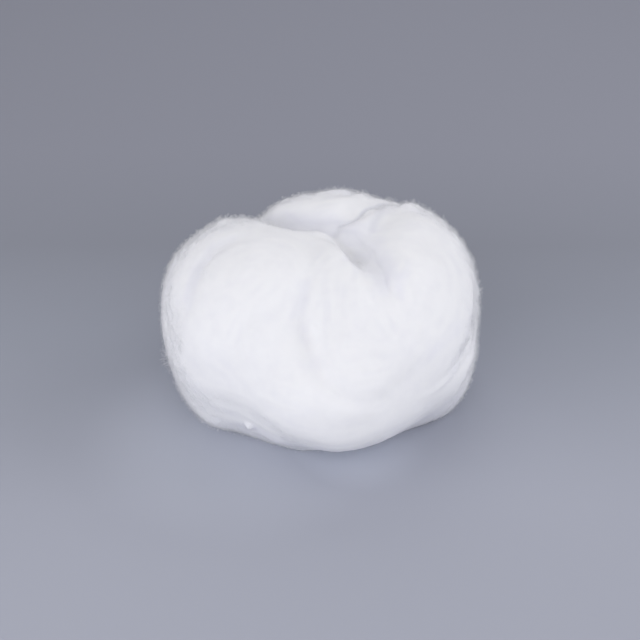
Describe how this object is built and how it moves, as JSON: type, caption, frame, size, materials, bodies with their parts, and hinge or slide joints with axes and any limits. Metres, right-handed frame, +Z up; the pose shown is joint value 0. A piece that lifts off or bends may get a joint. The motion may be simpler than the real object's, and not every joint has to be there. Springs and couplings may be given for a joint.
{
  "type": "quartz wool wad",
  "caption": "Loose wad of fine white quartz wool, folded in on itself into soft lobes around a deep top fold, resting on a flattened foot.",
  "frame": {"origin": "middle of the bounding box, on the surface that the wad rests on", "axes": "+X to the right along the wad's length, with the tucked fold facing -Y, +Z up out of its foot"},
  "size_m": [0.1804, 0.1688, 0.1104],
  "materials": {
    "quartz_wool": "matt white fleece of fine clear fibres, soft edged, a little cool in its shadows"
  },
  "bodies": {
    "root": {"wool_wad": "quartz_wool"}
  },
  "joints": []
}
